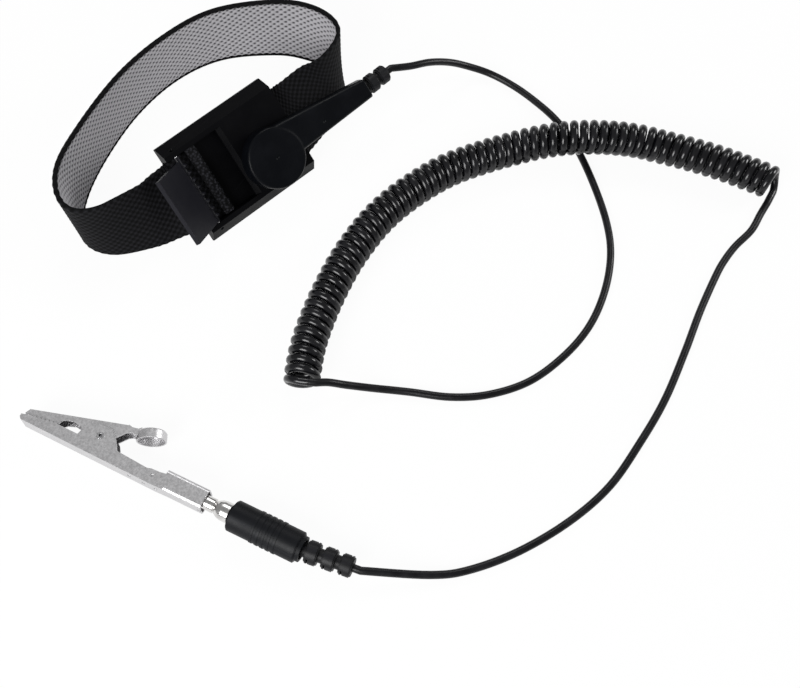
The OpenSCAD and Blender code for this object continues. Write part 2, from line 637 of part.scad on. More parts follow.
module banana_pin() {
    tip = sleeve_r - 0.5;
    color("#c3c4c8") at_plug() {
        lying_cylinder(banana_r, -12, banana_l - 0.8);
        lying_cylinder(banana_r + 0.5, -10.8, -3.2);
        translate([banana_l - 1.8, 0, 0]) rotate([0, 90, 0]) rotate_extrude()
            polygon([[0, 0], [tip, 0], [tip, 0.8], [tip - 0.7, 1.8], [0, 1.8]]);
    }
}
module banana_spring() {
    from_x = ferrule_l + 0.25;
    to_x = banana_l - 2.1;
    l = to_x - from_x;
    bore = banana_r + run_gap;
    leaf = 0.25;
    end_r = bore + 0.35;
    color("#d0d1d4") at_plug() difference() {
        translate([from_x, 0, 0]) rotate([0, 90, 0]) rotate_extrude() polygon([[bore, 0], [sleeve_r - 0.2, 0],
            [sleeve_r - 0.2, 1.6], [sleeve_r, 0.45 * l], [sleeve_r, 0.7 * l], [end_r, l - 0.6], [end_r, l],
            [bore, l], [bore, l - 0.9], [sleeve_r - leaf, 0.7 * l], [sleeve_r - leaf, 0.45 * l], [bore, 2.4]]);
        for (k = [0:2]) translate([from_x + 3, 0, 0]) rotate([60 * k, 0, 0])
            translate([0, -0.25, -sleeve_r - 1]) cube([l - 4.6, 0.5, 2 * sleeve_r + 2]);
    }
}

// ---- Jaw clip ----
// Seen from above the clip lies on its side: x to the nose, y towards the lower jaw's back.
jaw_pivot = [38.2, -2.7];
// The barrel is a folded box tube with round edges
barrel_half = sleeve_r + 0.25 + sheet_t;
barrel_round = 1;
neck_x = barrel_x + barrel_l;
back_y = 2.6;
nose_back_y = 2.3;
bite_from = [49, -0.85];
bite_to = [nose_x - 0.9, 0.55];
bite_teeth = floor(norm(bite_to - bite_from) / jaw_tooth);
// The upper jaw's back, from its tip to the heel where the neck of the thumb pad starts
upper_tip = [nose_x - 1.2, -1.1];
heel = [33.2, -8.3];
// The middle of the thumb pad's disc, and its turn
pad_at = [28.05, -9.55];
pad_turn = 26.4;
// The teeth that both jaws share, shifted a little for each jaw
function bite_line(shift) = [for (k = [0:2 * bite_teeth])
    bite_from + (bite_to - bite_from) * k / (2 * bite_teeth) + [0, (k % 2 == 0 ? 0.17 : -0.17) + shift]];
module at_jaw_side(z, t) {
    at_plug() translate([0, 0, z]) linear_extrude(t) children();
}
module barrel_section(wall) {
    offset(r = barrel_round - wall, $fn = 32) square(2 * (barrel_half - barrel_round), center = true);
}
module lower_jaw() {
    low = -jaw_w / 2;
    stop_x = banana_l + 0.3;
    back = [[neck_x - 1, back_y - sheet_t], [neck_x - 1, back_y - 0.1], [neck_x + 2, back_y],
            [nose_x - 0.6, nose_back_y], [nose_x, nose_back_y - 0.6]];
    side = concat(back, [[nose_x, bite_to.y + 0.4]], [for (k = [2 * bite_teeth:-1:0]) bite_line(0.05)[k]],
        [[48.4, -0.6], [43.4, -0.6], [43.1, -1.8], [41.6, -4], [40.2, -5.2], [36.6, -5.4], [34.1, -3.5],
         [32.4, -1.1], [neck_x + 5, -0.6], [neck_x + 3.8, -0.95], [neck_x + 1.6, -1.05], [neck_x - 1, -1.5]]);
    color("#b4b5b9") difference() {
        union() {
            for (z = [low, -low - sheet_t]) at_jaw_side(z, sheet_t) polygon(side);
            at_jaw_side(low, jaw_w) polygon([back[1], back[2], back[3], back[3] - [0, sheet_t],
                                             back[2] - [0, sheet_t], back[1] - [0, sheet_t]]);
            at_plug() translate([barrel_x, 0, 0]) along_x(barrel_l) barrel_section(0);
            // stop for the banana pin, and the small nub on the barrel
            at_jaw_side(low + eps, jaw_w - 2 * eps) polygon([[stop_x, back_y - sheet_t / 2], [stop_x, -0.8],
                [stop_x + sheet_t, -0.8], [stop_x + sheet_t, back_y - sheet_t / 2]]);
            at_plug() translate([barrel_x + 1.8, 0, 0]) rotate([90, 0, 0]) cylinder(r = 0.4, h = barrel_half + 0.25);
        }
        at_plug() translate([barrel_x - 1, 0, 0]) along_x(barrel_l + 1) barrel_section(sheet_t);
        at_plug() translate([neck_x - 2, -barrel_half + sheet_t, -barrel_half + sheet_t])
            cube([2 + eps, barrel_half, 2 * (barrel_half - sheet_t)]);
        // the seam along the barrel, and the notch in its mouth
        at_plug() translate([barrel_x - 1, -barrel_half - 1, -0.4]) cube([barrel_l + 2, 2, 0.2]);
        at_plug() translate([barrel_x - 1, barrel_half - 1, -0.4]) cube([2, 2, 0.8]);
        at_plug() translate([jaw_pivot.x, jaw_pivot.y, -jaw_w]) cylinder(r = jaw_rivet_r + fix_gap, h = 2 * jaw_w);
        at_plug() translate([neck_x + 2.9, 0.5, -jaw_w]) cylinder(r = 0.5, h = 2 * jaw_w);
        for (x = [neck_x + 1.2, neck_x + 4.6, neck_x + 8.7]) at_plug()
            translate([x, back_y + 0.25, 0]) rotate([-90, 0, 0]) cylinder(r = 0.55, h = 1, center = true);
    }
}
module upper_jaw() {
    gap = sheet_t + 0.05;
    w = jaw_w - 2 * gap;
    low = -w / 2;
    // the sides run on past the heel into the pad's rim
    side = concat([upper_tip, heel, heel + [-1, 0.1], heel + [-2.3, -0.2], heel + [-3, -0.9]],
        [heel + [-3.5, 1.3], heel + [-2.4, 1.35], heel + [-1.2, 1.5], heel + [-0.2, 2.1]],
        [[34.9, -3.6], [35.6, -1.2], [37, -0.3], [39.6, -0.3], [41.4, -1.2],
        [43.1, -2.2], [44, -2.8], [46.3, -3], [48.2, -2.3], [48.9, -1.6]], bite_line(-0.05),
        [[nose_x - 0.6, bite_to.y - 0.35]]);
    color("#b4b5b9") difference() {
        union() {
            for (z = [low, -low - sheet_t]) at_jaw_side(z, sheet_t) polygon(side);
            at_jaw_side(low, w) polygon([upper_tip, heel, heel + [0.2, sheet_t], upper_tip + [0, sheet_t]]);
            // the neck to the thumb pad, and the pad
            at_jaw_side(low, w) polygon([heel + [0.3, -0.09], heel, heel + [-1, 0.1], heel + [-2.3, -0.2],
                heel + [-2.3, 0.3], heel + [-1, 0.55], heel + [0, 0.5], heel + [0.4, 0.4]]);
            at_plug() translate([pad_at.x, pad_at.y, 0]) rotate([0, 0, pad_turn]) rotate([90, 0, 0])
                rotate_extrude() polygon([[0, -0.2], [pad_r - 1, -0.2], [pad_r - 0.7, 0.1], [pad_r - 0.3, 0.1],
                    [pad_r, -0.3], [pad_r, -pad_depth], [pad_r - sheet_t, -pad_depth], [pad_r - sheet_t, -0.6],
                    [pad_r - 0.8, -0.5], [pad_r - 1.1, -0.7], [0, -0.7]]);
        }
        at_plug() translate([jaw_pivot.x, jaw_pivot.y, -jaw_w]) cylinder(r = jaw_rivet_r + run_gap, h = 2 * jaw_w);
    }
}
module jaw_rivet() {
    color("#8f9095") at_plug() translate([jaw_pivot.x, jaw_pivot.y, -jaw_w / 2])
        tube(jaw_rivet_r, jaw_rivet_bore, jaw_w);
}
module jaw_spring() {
    // a torsion spring round the rivet, with one leg on the upper jaw and one on the lower, each
    // running straight off its last turn
    from_angle = 303;
    sweep = 845;
    step_angle = 45;
    wind_r = jaw_rivet_r + run_gap + 0.3 + jaw_wire_r;
    rise = 2 * jaw_wire_r + 0.45;
    steps = round(sweep / step_angle);
    function winding_angle(i) = from_angle + sweep * i / steps;
    winding = [for (i = [0:steps]) [wind_r * cos(winding_angle(i)), wind_r * sin(winding_angle(i)),
        rise * sweep / 360 * (i / steps - 0.5)]];
    upper_leg = 5.2;
    lower_leg = 6.6;
    first_leg = winding[0] + upper_leg * [sin(from_angle), -cos(from_angle), 0];
    last_leg = winding[steps] + lower_leg * [-sin(winding_angle(steps)), cos(winding_angle(steps)), 0];
    path = concat([first_leg], winding, [last_leg]);
    color("#6f7176") at_plug() translate([jaw_pivot.x, jaw_pivot.y, 0])
        skin([for (i = [0:len(path) - 1]) let (t = along(path, i), side = flat_side(t))
            ring(path[i], side, cross(t, side), jaw_wire_r, 6)]);
}

band_outer();
band_lining();
band_hem();
buckle_frame();
back_plate();
clamp_pin();
snap_stud();
stud_eyelet();
clamp_flap();
socket_spring();
snap_socket();
snap_cap();
safety_resistor();
crimp_sleeve();
cord_tail();
snap_strain_relief();
cord_snap_lead();
cord_coil();
cord_plug_lead();
plug_strain_relief();
plug_grip();
plug_ferrule();
banana_pin();
banana_spring();
lower_jaw();
jaw_rivet();
jaw_spring();
upper_jaw();
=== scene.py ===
import json
import math

import bmesh
import bpy
import numpy as np
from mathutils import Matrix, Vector

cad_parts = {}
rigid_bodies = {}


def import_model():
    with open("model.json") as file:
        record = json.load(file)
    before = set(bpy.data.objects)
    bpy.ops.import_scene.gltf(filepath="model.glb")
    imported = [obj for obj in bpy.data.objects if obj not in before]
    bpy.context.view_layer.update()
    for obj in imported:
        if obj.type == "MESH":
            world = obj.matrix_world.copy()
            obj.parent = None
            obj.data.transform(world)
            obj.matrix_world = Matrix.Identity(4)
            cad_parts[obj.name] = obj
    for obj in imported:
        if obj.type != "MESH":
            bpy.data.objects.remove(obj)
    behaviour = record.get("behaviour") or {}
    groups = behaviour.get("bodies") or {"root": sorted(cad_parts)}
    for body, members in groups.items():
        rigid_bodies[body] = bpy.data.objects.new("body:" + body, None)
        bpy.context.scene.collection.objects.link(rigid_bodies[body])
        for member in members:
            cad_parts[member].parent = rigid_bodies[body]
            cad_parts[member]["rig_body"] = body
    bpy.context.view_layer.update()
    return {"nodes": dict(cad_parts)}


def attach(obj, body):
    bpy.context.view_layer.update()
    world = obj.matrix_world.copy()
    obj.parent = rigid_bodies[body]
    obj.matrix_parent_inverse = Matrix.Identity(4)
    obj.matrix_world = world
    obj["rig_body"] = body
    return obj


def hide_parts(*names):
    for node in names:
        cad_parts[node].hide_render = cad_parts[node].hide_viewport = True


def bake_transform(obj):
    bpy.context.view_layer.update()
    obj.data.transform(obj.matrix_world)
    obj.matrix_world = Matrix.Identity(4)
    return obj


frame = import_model()
MM = 0.001
SCENE = bpy.context.scene
SCENE.view_settings.view_transform = "Standard"

# ---- Sizes shared with the construction, in millimetres and radians ----
BAND_W = 20.0
KNIT_T = 0.9
LINING_T = 0.6
LINING_INSET = 0.7
SEAT_GAP = 0.05
REACH_RIGHT = 24.8
REACH_LEFT = 25.8
LOOP_DEPTH = 47.8
BUCKLE_L = 34.4
RAIL_W = 3.95
SIDE_GAP = 0.3
PLATE_T = 0.4
FLOOR_T = 0.4
BUCKLE_T = 4.8
WINDOW_L = 16.0
TILT = math.radians(41)
HEM_X = 6.2
HEM_W = 3.0
STUD = (24.3, 10.2)
SNAP_TURN = math.radians(2)
SNAP_END = 39.62
HANDLE_H = 3.205
WRIST_CENTRE = (17.4, 22.1)
PLUG_AT = (-60.9, -87.1, 4.1)
PLUG_TURN = math.radians(112.6)
GRIP_L = 19.2
PLUG_RELIEF_L = 12.6
RELIEF_BEND = math.radians(6)
CORD_D = 2.0
COIL_D = 9.5
END_REACH = 1.0
CURLS = 64.5

# The wound strand as it is seen: thicker than in the construction, so that the curls close up
WOUND_D = 2.35


# ---- Camera ----
def make_camera():
    """Looks down at 65 degrees, turned 41 degrees to the buckle."""
    target = Vector((0.25, -77.86, 0)) * MM
    elevation = math.radians(65)
    turn = math.radians(-41)
    distance = 342 * MM
    back = Vector((math.sin(turn), -math.cos(turn), 0)) * math.cos(elevation)
    data = bpy.data.cameras.new("camera")
    data.sensor_fit = "HORIZONTAL"
    data.sensor_width = 36
    data.lens = 59.85
    data.clip_start = 0.01
    camera = bpy.data.objects.new("camera", data)
    camera.location = target + distance * (back + Vector((0, 0, math.sin(elevation))))
    camera.rotation_euler = (target - camera.location).to_track_quat("-Z", "Y").to_euler()
    SCENE.collection.objects.link(camera)
    SCENE.camera = camera


make_camera()


# ---- Small tools ----
def arr(points):
    return np.array(points, float)


def unit(v):
    v = arr(v)
    return v / np.linalg.norm(v, axis=-1, keepdims=True)


def spline(points, steps):
    """A smooth curve through every point."""
    p = arr(points)
    out = []
    for i in range(len(p) - 1):
        a, b, c, d = p[max(i - 1, 0)], p[i], p[i + 1], p[min(i + 2, len(p) - 1)]
        for k in range(steps):
            t = k / steps
            out.append(0.5 * (2 * b + (c - a) * t + (2 * a - 5 * b + 4 * c - d) * t * t
                              + (3 * b - a - 3 * c + d) * t ** 3))
    out.append(p[-1])
    return arr(out)


def run_length(points):
    return np.concatenate([[0], np.cumsum(np.linalg.norm(np.diff(points, axis=0), axis=1))])


def placed(x, y, z):
    """From the buckle's own axes to the object's."""
    return arr([x - WRIST_CENTRE[0], y * math.cos(TILT) - z * math.sin(TILT) - WRIST_CENTRE[1],
                y * math.sin(TILT) + z * math.cos(TILT)])


def from_plug(x, y, z):
    """From the plug's own axes to the object's."""
    c, s = math.cos(PLUG_TURN), math.sin(PLUG_TURN)
    return arr([PLUG_AT[0] + x * c - y * s, PLUG_AT[1] + x * s + y * c, PLUG_AT[2] + z])


def mesh_object(name, points_mm, faces, material):
    mesh = bpy.data.meshes.new(name)
    mesh.from_pydata((arr(points_mm) * MM).tolist(), [], faces)
    mesh.update()
    mesh.shade_smooth()
    piece = bpy.data.objects.new(name, mesh)
    SCENE.collection.objects.link(piece)
    mesh.materials.append(material)
    return piece


def bake_modifiers(piece):
    """Turns the piece with its modifiers into a plain mesh."""
    bpy.context.view_layer.update()
    evaluated = piece.evaluated_get(bpy.context.evaluated_depsgraph_get())
    mesh = bpy.data.meshes.new_from_object(evaluated)
    piece.modifiers.clear()
    piece.data = mesh


def tube(name, path, radius, sides, material):
    """A closed tube along a path, with one radius or one for each point."""
    path = arr(path)
    n = len(path)
    radius = np.broadcast_to(arr(radius), (n,))[:, None, None]
    way = unit(np.gradient(path, axis=0))
    side = unit(np.cross([0, 0, 1], way))
    up = np.cross(way, side)
    angle = 2 * math.pi * np.arange(sides) / sides
    rings = (path[:, None, :] + radius * (np.cos(angle)[None, :, None] * side[:, None, :]
                                          + np.sin(angle)[None, :, None] * up[:, None, :]))
    faces = []
    for i in range(n - 1):
        for j in range(sides):
            k = (j + 1) % sides
            faces.append((i * sides + j, i * sides + k, (i + 1) * sides + k, (i + 1) * sides + j))
    faces.append(tuple(reversed(range(sides))))
    faces.append(tuple(range((n - 1) * sides, n * sides)))
    piece = mesh_object(name, rings.reshape(-1, 3), [tuple(reversed(f)) for f in faces], material)
    outward(piece)
    # Only the edges of the flat ends turn more than this
    piece.data.set_sharp_from_angle(angle=math.radians(60))
    return piece


def outward(piece):
    """Turns all faces outwards."""
    mesh = bmesh.new()
    mesh.from_mesh(piece.data)
    bmesh.ops.recalc_face_normals(mesh, faces=mesh.faces)
    mesh.to_mesh(piece.data)
    mesh.free()


# ---- Material tools ----
class Finish:
    """A material with one shader and short words for its nodes."""

    # Numbers of the colour sockets of a mix node
    COLOUR_A, COLOUR_B, COLOUR_OUT = 6, 7, 2

    def __init__(self, name, colour, roughness, metallic=0.0, specular=0.5):
        self.material = bpy.data.materials.new(name)
        self.material.use_nodes = True
        self.tree = self.material.node_tree
        self.shader = self.tree.nodes["Principled BSDF"]
        self.set(self.shader, "Base Color", (*colour, 1))
        self.set(self.shader, "Roughness", roughness)
        self.set(self.shader, "Metallic", metallic)
        self.set(self.shader, "Specular IOR Level", specular)
        self.where = self.node("ShaderNodeTexCoord").outputs["Object"]

    def node(self, kind, **settings):
        made = self.tree.nodes.new(kind)
        for key, value in settings.items():
            setattr(made, key, value)
        return made

    def set(self, node, socket, value):
        if isinstance(value, bpy.types.NodeSocket):
            self.tree.links.new(value, node.inputs[socket])
        else:
            node.inputs[socket].default_value = value

    def follow_surface(self, uv_map):
        self.where = self.node("ShaderNodeUVMap", uv_map=uv_map).outputs["UV"]

    def scaled(self, scale):
        mapping = self.node("ShaderNodeMapping")
        self.set(mapping, "Vector", self.where)
        self.set(mapping, "Scale", scale)
        return mapping.outputs["Vector"]

    def noise(self, size_mm, detail, stretch=None):
        noise = self.node("ShaderNodeTexNoise")
        self.set(noise, "Vector", self.scaled(stretch) if stretch else self.where)
        self.set(noise, "Scale", 1 / (size_mm * MM))
        self.set(noise, "Detail", detail)
        return noise.outputs["Fac"]

    def spots(self, size_mm):
        cells = self.node("ShaderNodeTexVoronoi")
        self.set(cells, "Vector", self.where)
        self.set(cells, "Scale", 1 / (size_mm * MM))
        return cells.outputs["Distance"]

    def math(self, operation, a, b):
        made = self.node("ShaderNodeMath", operation=operation)
        self.set(made, 0, a)
        self.set(made, 1, b)
        return made.outputs["Value"]

    def range(self, value, low, high, to_low, to_high):
        made = self.node("ShaderNodeMapRange")
        for socket, number in (("Value", value), ("From Min", low), ("From Max", high),
                               ("To Min", to_low), ("To Max", to_high)):
            self.set(made, socket, number)
        return made.outputs["Result"]

    def blend(self, share, a, b):
        made = self.node("ShaderNodeMix", data_type="RGBA")
        self.set(made, "Factor", share)
        self.set(made, self.COLOUR_A, a if isinstance(a, bpy.types.NodeSocket) else (*a, 1))
        self.set(made, self.COLOUR_B, (*b, 1))
        return made.outputs[self.COLOUR_OUT]

    def colour_by(self, share, a, b):
        self.set(self.shader, "Base Color", self.blend(share, a, b))

    def relief(self, height, distance_mm, strength=1.0):
        bump = self.node("ShaderNodeBump")
        self.set(bump, "Height", height)
        self.set(bump, "Distance", distance_mm * MM)
        self.set(bump, "Strength", strength)
        if self.shader.inputs["Normal"].links:
            self.tree.links.new(self.shader.inputs["Normal"].links[0].from_socket, bump.inputs["Normal"])
        self.tree.links.new(bump.outputs["Normal"], self.shader.inputs["Normal"])

    def edge_wear(self, share):
        """Where an edge stands out, from the surface's own pointiness."""
        geometry = self.node("ShaderNodeNewGeometry")
        return self.range(geometry.outputs["Pointiness"], 0.52, 0.6, 0.0, share)


# Size and depth of the mould's grain, in millimetres
GRAIN_MM = 0.12
GRAIN_DEPTH = 0.012


def moulded(name, colour, worn, roughness, gloss=0.2):
    """Black moulded plastic: fine spark-eroded grain, cloudy gloss and paler worn edges."""
    f = Finish(name, colour, roughness, specular=gloss)
    cloud = f.noise(6.0, 4.0)
    f.colour_by(f.math("MAXIMUM", f.edge_wear(0.6), f.range(cloud, 0.45, 0.75, 0.0, 0.35)), colour, worn)
    f.set(f.shader, "Roughness", f.range(cloud, 0.3, 0.7, roughness - 0.05, roughness + 0.08))
    f.relief(f.noise(GRAIN_MM, 2.0), GRAIN_DEPTH, 0.6)
    f.relief(f.noise(2.5, 2.0), 0.02, 0.35)
    return f


def jacket(name, gloss, roughness):
    """Smooth black cord jacket, with faint dust and small unevenness."""
    f = Finish(name, (0.003, 0.003, 0.004), roughness, specular=gloss)
    cloud = f.noise(3.5, 4.0)
    f.colour_by(f.range(cloud, 0.4, 0.8, 0.0, 1.0), (0.003, 0.003, 0.004), (0.009, 0.009, 0.011))
    f.set(f.shader, "Roughness", f.range(cloud, 0.3, 0.7, roughness - 0.04, roughness + 0.07))
    f.relief(f.noise(0.35, 2.0), 0.01, 0.4)
    return f


def plated(name, colour, roughness, mottle_mm=0.5, tarnish=0.28, dents=0.3):
    """Plated metal: fine mottling, cloudy tarnish and shallow dents."""
    f = Finish(name, colour, roughness, metallic=1.0)
    cloud = f.noise(3.0, 5.0)
    fine = f.noise(mottle_mm, 3.0)
    dull = tuple((1 - tarnish) * c for c in colour)
    f.colour_by(f.range(cloud, 0.45, 0.8, 0.0, 1.0), colour, dull)
    f.set(f.shader, "Roughness", f.range(fine, 0.3, 0.7, roughness - 0.06, roughness + 0.1))
    f.relief(fine, 0.006, min(0.5, 2 * dents))
    f.relief(f.noise(1.8, 2.0), 0.03, dents)
    return f


def outer_knit():
    """Black elastic knit: loops in offset rows, with painted highlights on their crowns and painted shade in
    the pits between them.
    """
    f = Finish("outer_knit", (0.004, 0.004, 0.005), 0.75, specular=0.1)
    f.set(f.shader, "Sheen Weight", 0.015)
    f.set(f.shader, "Sheen Roughness", 0.45)
    f.follow_surface("along")
    yarn = f.noise(0.16, 3.0, stretch=(0.5, 1.6, 1))
    height = f.node("ShaderNodeAttribute", attribute_name="loop_height").outputs["Fac"]
    # Painted light: the colour goes lighter on the loop crowns as a painted highlight and darker in the pits
    # as painted shade
    painted_crown_highlight = f.math("MULTIPLY", f.range(height, 0.45, 1.0, 0.0, 1.0), f.range(yarn, 0.35, 0.65, 0.4, 1.0))
    f.colour_by(painted_crown_highlight, (0.0012, 0.0012, 0.0015), (0.016, 0.016, 0.019))
    f.relief(yarn, 0.05, 0.6)
    return f


def hem_knit():
    """Folded end of the band: flattened loops, with painted highlights on the loops and painted shade between
    them.
    """
    f = Finish("hem_knit", (0.01, 0.01, 0.012), 0.7, specular=0.12)
    loops = f.spots(0.7)
    # Painted light: each loop's middle is coloured lighter as a painted highlight and the gaps between loops
    # darker as painted shade
    f.colour_by(f.range(loops, 0.1, 0.6, 1.0, 0.0), (0.002, 0.002, 0.0025), (0.03, 0.03, 0.036))
    f.relief(loops, 0.15, 0.8)
    f.relief(f.noise(0.2, 3.0), 0.03, 0.5)
    return f


def lining_knit():
    """Pale knit with conductive yarn: round loops, with painted shade in the pits between them and painted
    highlights on their crowns.
    """
    f = Finish("lining_knit", (0.3, 0.295, 0.31), 0.6, specular=0.3)
    f.set(f.shader, "Sheen Weight", 0.1)
    f.follow_surface("along")
    yarn = f.noise(0.14, 3.0, stretch=(0.6, 1.5, 1))
    height = f.node("ShaderNodeAttribute", attribute_name="loop_height").outputs["Fac"]
    # Painted shade and highlight: the pale yarn colour darkens towards the pits between the loops and pales
    # further on the crowns
    body = f.blend(f.range(height, 0.2, 0.62, 0.0, 1.0), (0.022, 0.02, 0.024), (0.37, 0.362, 0.38))
    painted_crown_highlight = f.math("MULTIPLY", f.range(yarn, 0.4, 0.7, 0.0, 0.6), f.range(height, 0.55, 0.95, 0.0, 1.0))
    lining_with_painted_light = f.blend(painted_crown_highlight, body, (0.5, 0.49, 0.52))
    f.set(f.shader, "Base Color", lining_with_painted_light)
    f.relief(yarn, 0.05, 0.6)
    return f


FINISH = {
    "buckle": moulded("buckle_plastic", (0.0015, 0.0015, 0.002), (0.004, 0.004, 0.005), 0.42, 0.06),
    "flap": moulded("flap_plastic", (0.004, 0.004, 0.0055), (0.014, 0.014, 0.019), 0.38, 0.12),
    "cap": moulded("cap_plastic", (0.002, 0.0024, 0.0035), (0.005, 0.0058, 0.008), 0.34, 0.09),
    "grip": moulded("grip_plastic", (0.004, 0.0045, 0.006), (0.012, 0.013, 0.016), 0.48, 0.15),
    "relief": moulded("relief_rubber", (0.004, 0.0042, 0.005), (0.014, 0.014, 0.017), 0.45),
    "cord": jacket("cord_jacket", 0.25, 0.34),
    "curls": jacket("curl_jacket", 0.4, 0.2),
    "clip": plated("clip_plate", (0.65, 0.645, 0.655), 0.42, 0.5, 0.06, 0.04),
    "nickel": plated("nickel_plate", (0.74, 0.73, 0.72), 0.2),
    "steel": plated("brushed_plate", (0.62, 0.62, 0.63), 0.3),
    "wire": plated("spring_wire", (0.42, 0.42, 0.43), 0.32),
    "brass": plated("brass_crimp", (0.66, 0.47, 0.2), 0.3),
    "knit": outer_knit(),
    "lining": lining_knit(),
    "hem": hem_knit(),
}


def lacquer():
    """Resistor lacquer with a soft gloss."""
    f = Finish("resistor_lacquer", (0.1, 0.35, 0.45), 0.25)
    f.colour_by(f.noise(0.8, 3.0), (0.1, 0.33, 0.43), (0.14, 0.42, 0.52))
    f.relief(f.noise(0.5, 2.0), 0.01, 0.4)
    return f


FINISH["lacquer"] = lacquer()


def dress(node, finish):
    """Gives a CAD node its material."""
    slots = frame["nodes"][node].data.materials
    slots.clear()
    slots.append(FINISH[finish].material)


for node_name, finish_name in {
        "back_plate": "steel", "clamp_pin": "steel", "snap_stud": "nickel", "stud_eyelet": "nickel",
        "socket_spring": "wire", "snap_socket": "nickel", "safety_resistor": "lacquer",
        "crimp_sleeve": "brass", "cord_tail": "cord", "banana_spring": "nickel", "banana_pin": "nickel",
        "jaw_spring": "wire"}.items():
    dress(node_name, finish_name)

# ---- Cords ----
SNAP_LEAD = [[53.5, -20.8, 12.5], [59.5, -22.3, 10.5], [65.5, -24.1, 7], [70.5, -27.1, 3.6],
             [74.3, -31.6, 1.6], [76.6, -38.1, 1], [77.7, -46.1, 1], [77.8, -54.8, 1], [76, -64.1, 1],
             [71.6, -75.3, 1], [65.6, -86.8, 1], [59.3, -94.9, 1], [50.6, -101.6, 1], [40.5, -106.3, 1],
             [29.7, -108.2, 1], [18, -107.6, 1], [7.8, -103.6, 1], [-0.2, -97.6, 1], [-7.6, -89.2, 1],
             [-13.8, -83.2, 2.2], [-18.8, -79.2, 4.8], [-22.2, -76.7, 7.2]]
PLUG_LEAD = [[98.2, -112.7, 1], [92.6, -114.5, 1], [85.8, -115, 1], [80, -116.2, 1],
             [74.8, -118, 1], [64.6, -122.3, 1], [53.4, -127.7, 1], [40, -133.6, 1],
             [27.1, -137.6, 1], [13.5, -140.7, 1], [0, -140.7, 1], [-14.2, -138.2, 1], [-26.4, -133.8, 1.2],
             [-34.5, -128.7, 2]]
COIL_MIDDLE = [[-26.9, -71.5, 4.3], [-19.9, -65.3, 4.3], [-12.6, -60.4, 4.3], [-3.5, -55.5, 4.3],
               [5.9, -51.5, 4.3], [17.6, -48.3, 4.3], [28.5, -47.5, 4.3], [41, -48.7, 4.3],
               [52.1, -52.1, 4.3], [62.5, -56.7, 5.2], [71.4, -62.7, 6.9], [79.8, -69.4, 6.9],
               [87.7, -76.7, 5.4], [93.8, -85.7, 4.3], [99.3, -95.3, 4.3], [104, -105.7, 4.3],
               [105.4, -109.3, 4.3]]
SNAP_EXIT = placed(STUD[0] + SNAP_END * math.cos(SNAP_TURN), STUD[1] + SNAP_END * math.sin(SNAP_TURN),
                   BUCKLE_T + HANDLE_H)
SNAP_WAY = arr([math.cos(SNAP_TURN), math.sin(SNAP_TURN) * math.cos(TILT),
                math.sin(SNAP_TURN) * math.sin(TILT)])
RELIEF_SUNK = 0.3
RELIEF_FRONT = from_plug(-GRIP_L + RELIEF_SUNK, 0, 0)
PLUG_EXIT = from_plug(-GRIP_L - PLUG_RELIEF_L * math.cos(RELIEF_BEND),
                      -PLUG_RELIEF_L * math.sin(RELIEF_BEND), 0)
PLUG_WAY = unit(PLUG_EXIT - RELIEF_FRONT)
STEPS_PER_CURL = 24
# Height of the coil over the bench, and how far to each side its direction is taken
COIL_LIFT = 0.1
WAY_REACH = 1.5
LEAD_SIDES = 16
CURL_SIDES = 12


def coil_path():
    """The helix round the coil's middle line: from the top, over the left side and round the bottom."""
    middle = spline(COIL_MIDDLE, 12)
    middle[:, 2] = np.maximum(middle[:, 2], COIL_D / 2 + COIL_LIFT)
    run = run_length(middle)
    steps = round(CURLS * STEPS_PER_CURL)
    angle = 2 * math.pi * np.arange(steps + 1) / STEPS_PER_CURL
    lean_out = np.where(angle < math.pi / 2, END_REACH * np.cos(angle) ** 2, 0)
    wanted = np.linspace(0, run[-1], steps + 1) - lean_out + lean_out[::-1]
    share = np.clip(wanted, 0, run[-1])

    def at(s):
        return np.stack([np.interp(s, run, middle[:, k]) for k in range(3)], 1)

    way = unit(at(np.minimum(share + WAY_REACH, run[-1])) - at(np.maximum(share - WAY_REACH, 0)))
    left = unit(np.cross([0, 0, 1], way))
    up = np.cross(way, left)
    wind_r = (COIL_D - WOUND_D) / 2
    out = np.sin(angle)[:, None] * left + np.cos(angle)[:, None] * up
    line = at(share) + (wanted - share)[:, None] * way + wind_r * out
    return line, left[0], -left[-1]


COIL_LINE, COIL_IN_WAY, COIL_OUT_WAY = coil_path()
COIL_START = COIL_LINE[0] - CORD_D * COIL_IN_WAY
COIL_END = COIL_LINE[-1] + CORD_D * COIL_OUT_WAY


def lead_line(start, start_way, points, end, end_way):
    """The middle line of an uncoiled cord, never under the bench, with a straight run at both ends."""
    inner = spline([start + CORD_D * start_way, *arr(points), end - CORD_D * end_way], 8)
    inner[:, 2] = np.maximum(inner[:, 2], CORD_D / 2)
    return np.concatenate([[start], inner, [end]])


